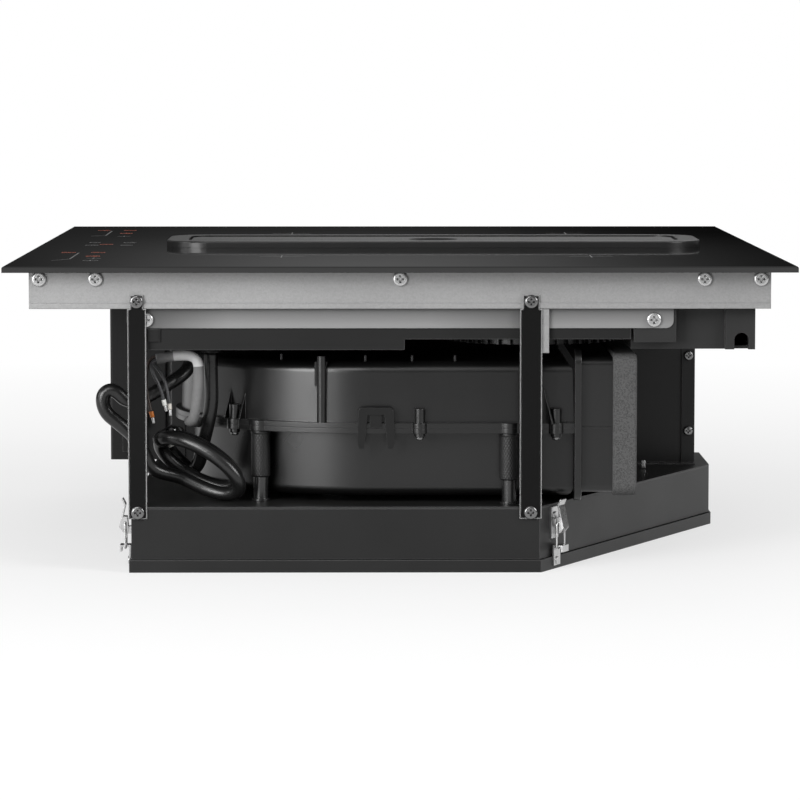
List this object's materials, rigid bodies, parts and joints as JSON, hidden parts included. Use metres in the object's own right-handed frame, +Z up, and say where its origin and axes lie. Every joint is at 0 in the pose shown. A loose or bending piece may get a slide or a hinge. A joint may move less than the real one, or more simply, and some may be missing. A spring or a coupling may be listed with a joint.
{
  "type": "downdraft induction cooktop",
  "caption": "Black glass induction hob with a lift-off centre air cover over a grease filter, and a slung volute blower, air tray and rear duct below.",
  "frame": {"origin": "centre of the hob's outline, level with the underside of the tray's lid", "axes": "+Z up; +Y along the hob's long side, towards the user's left; +X from the touch-control edge to the rear edge, the way the air leaves the duct"},
  "size_m": [0.52, 0.6, 0.2078],
  "materials": {
    "glass_top": "polished black ceramic glass",
    "cover_ring": "satin black, smooth",
    "cover_panel": "satin black, smooth",
    "filter_frame": "satin black, smooth",
    "filter_mesh": "plain rolled",
    "frame_near": "fine-grained galvanised sheet",
    "frame_far": "fine-grained galvanised sheet",
    "frame_front": "fine-grained galvanised sheet",
    "frame_rear": "fine-grained galvanised sheet",
    "frame_screws": "bright zinc",
    "side_strips": "fine-grained galvanised sheet",
    "mica_discs": "pressed mica",
    "coil_windings": "lacquered copper windings",
    "ferrite_bars": "sintered",
    "coil_plates": "plain rolled",
    "base_near": "semi-matt black powder coat",
    "base_far": "semi-matt black powder coat",
    "power_boards": "solder-masked board",
    "heatsinks": "plain rolled",
    "inlet_grilles": "moulded",
    "fan_housings": "moulded",
    "fan_rotor_near": "moulded",
    "fan_rotor_far": "moulded",
    "touch_board": "solder-masked board",
    "terminal_box": "moulded, fine grain",
    "terminal_cover": "moulded, fine grain",
    "corner_clips": "moulded",
    "air_plenum": "semi-matt black powder coat",
    "control_box": "moulded, fine grain",
    "tray_top": "semi-matt black powder coat",
    "tray_body": "semi-matt black powder coat",
    "lid_gasket": "matt",
    "tray_lid": "semi-matt black powder coat",
    "blower_upper": "moulded, fine grain",
    "blower_lower": "moulded, fine grain",
    "motor": "blackened",
    "motor_shaft": "bright zinc",
    "impeller": "moulded",
    "outlet_duct": "moulded, fine grain",
    "foam_seal": "open-pored foam",
    "blower_clips": "moulded",
    "damper_sleeves": "matt",
    "damper_pins": "moulded",
    "post_left": "semi-matt black powder coat",
    "post_right": "semi-matt black powder coat",
    "hanger_bracket": "fine-grained galvanised sheet",
    "housing_screws": "blackened",
    "latch_bases": "bright spring steel",
    "latch_keepers": "bright spring steel",
    "latch_lever_left": "bright spring steel",
    "latch_lever_right": "bright spring steel",
    "latch_lever_back": "bright spring steel",
    "latch_bail_left": "bright spring steel",
    "latch_bail_right": "bright spring steel",
    "latch_bail_back": "bright spring steel",
    "cable_grommets": "matt",
    "supply_cable": "smooth sheath with a soft shine",
    "cable_loops": "smooth sheath with a soft shine",
    "wire_sleeve": "soft grey tubing",
    "control_wires": "smooth sheath with a soft shine"
  },
  "bodies": {
    "hob": {"glass_top": "glass_top", "cover_ring": "cover_ring", "frame_near": "frame_near", "frame_far": "frame_far", "frame_front": "frame_front", "frame_rear": "frame_rear", "frame_screws": "frame_screws", "side_strips": "side_strips", "mica_discs": "mica_discs", "coil_windings": "coil_windings", "ferrite_bars": "ferrite_bars", "coil_plates": "coil_plates", "base_near": "base_near", "base_far": "base_far", "power_boards": "power_boards", "heatsinks": "heatsinks", "inlet_grilles": "inlet_grilles", "fan_housings": "fan_housings", "touch_board": "touch_board", "terminal_box": "terminal_box", "terminal_cover": "terminal_cover", "corner_clips": "corner_clips", "air_plenum": "air_plenum", "control_box": "control_box", "tray_top": "tray_top", "tray_body": "tray_body", "lid_gasket": "lid_gasket", "tray_lid": "tray_lid", "blower_upper": "blower_upper", "blower_lower": "blower_lower", "motor": "motor", "outlet_duct": "outlet_duct", "foam_seal": "foam_seal", "blower_clips": "blower_clips", "damper_sleeves": "damper_sleeves", "damper_pins": "damper_pins", "post_left": "post_left", "post_right": "post_right", "hanger_bracket": "hanger_bracket", "housing_screws": "housing_screws", "latch_bases": "latch_bases", "latch_keepers": "latch_keepers", "cable_grommets": "cable_grommets", "supply_cable": "supply_cable", "cable_loops": "cable_loops", "wire_sleeve": "wire_sleeve", "control_wires": "control_wires"},
    "filter": {"filter_frame": "filter_frame", "filter_mesh": "filter_mesh"},
    "cover": {"cover_panel": "cover_panel"},
    "wheel": {"impeller": "impeller", "motor_shaft": "motor_shaft"},
    "fan_near": {"fan_rotor_near": "fan_rotor_near"},
    "fan_far": {"fan_rotor_far": "fan_rotor_far"},
    "lever_left": {"latch_lever_left": "latch_lever_left"},
    "bail_left": {"latch_bail_left": "latch_bail_left"},
    "lever_right": {"latch_lever_right": "latch_lever_right"},
    "bail_right": {"latch_bail_right": "latch_bail_right"},
    "lever_back": {"latch_lever_back": "latch_lever_back"},
    "bail_back": {"latch_bail_back": "latch_bail_back"}
  },
  "joints": [
    {"name": "filter_lift", "type": "slide", "parent": "hob", "child": "filter", "axis": [0, 0, 1], "range_m": [0, 0.13]},
    {"name": "cover_lift", "type": "slide", "parent": "filter", "child": "cover", "axis": [0, 0, 1], "range_m": [0, 0.06]},
    {"name": "wheel_spin", "type": "hinge", "parent": "hob", "child": "wheel", "pos_m": [-0.03, -0.134, 0.08], "axis": [0, 0, 1], "continuous": true},
    {"name": "fan_near_spin", "type": "hinge", "parent": "hob", "child": "fan_near", "pos_m": [0.089, -0.2, 0.16], "axis": [0, 0, 1], "continuous": true},
    {"name": "fan_far_spin", "type": "hinge", "parent": "hob", "child": "fan_far", "pos_m": [0.089, 0.2, 0.16], "axis": [0, 0, 1], "continuous": true},
    {"name": "latch_left", "type": "hinge", "parent": "hob", "child": "lever_left", "pos_m": [-0.1825, -0.262, 0.026], "axis": [0, -1, 0], "range_deg": [0, 110]},
    {"name": "bail_left_turn", "type": "hinge", "parent": "lever_left", "child": "bail_left", "pos_m": [-0.1825, -0.262, 0.031], "axis": [0, -1, 0], "range_deg": [-140, 0]},
    {"name": "latch_right", "type": "hinge", "parent": "hob", "child": "lever_right", "pos_m": [0.10672, -0.26673, 0.026], "axis": [0.4578, 0.8891, 0], "range_deg": [0, 110]},
    {"name": "bail_right_turn", "type": "hinge", "parent": "lever_right", "child": "bail_right", "pos_m": [0.10672, -0.26673, 0.031], "axis": [0.4578, 0.8891, 0], "range_deg": [-140, 0]},
    {"name": "latch_back", "type": "hinge", "parent": "hob", "child": "lever_back", "pos_m": [0.026, 0.067, 0.026], "axis": [-1, 0, 0], "range_deg": [0, 110]},
    {"name": "bail_back_turn", "type": "hinge", "parent": "lever_back", "child": "bail_back", "pos_m": [0.026, 0.067, 0.031], "axis": [-1, 0, 0], "range_deg": [-140, 0]}
  ],
  "couplings": [
    {"joint": "bail_left_turn", "follows": "latch_left", "ratio": -0.85},
    {"joint": "bail_right_turn", "follows": "latch_right", "ratio": -0.85},
    {"joint": "bail_back_turn", "follows": "latch_back", "ratio": -0.85}
  ]
}
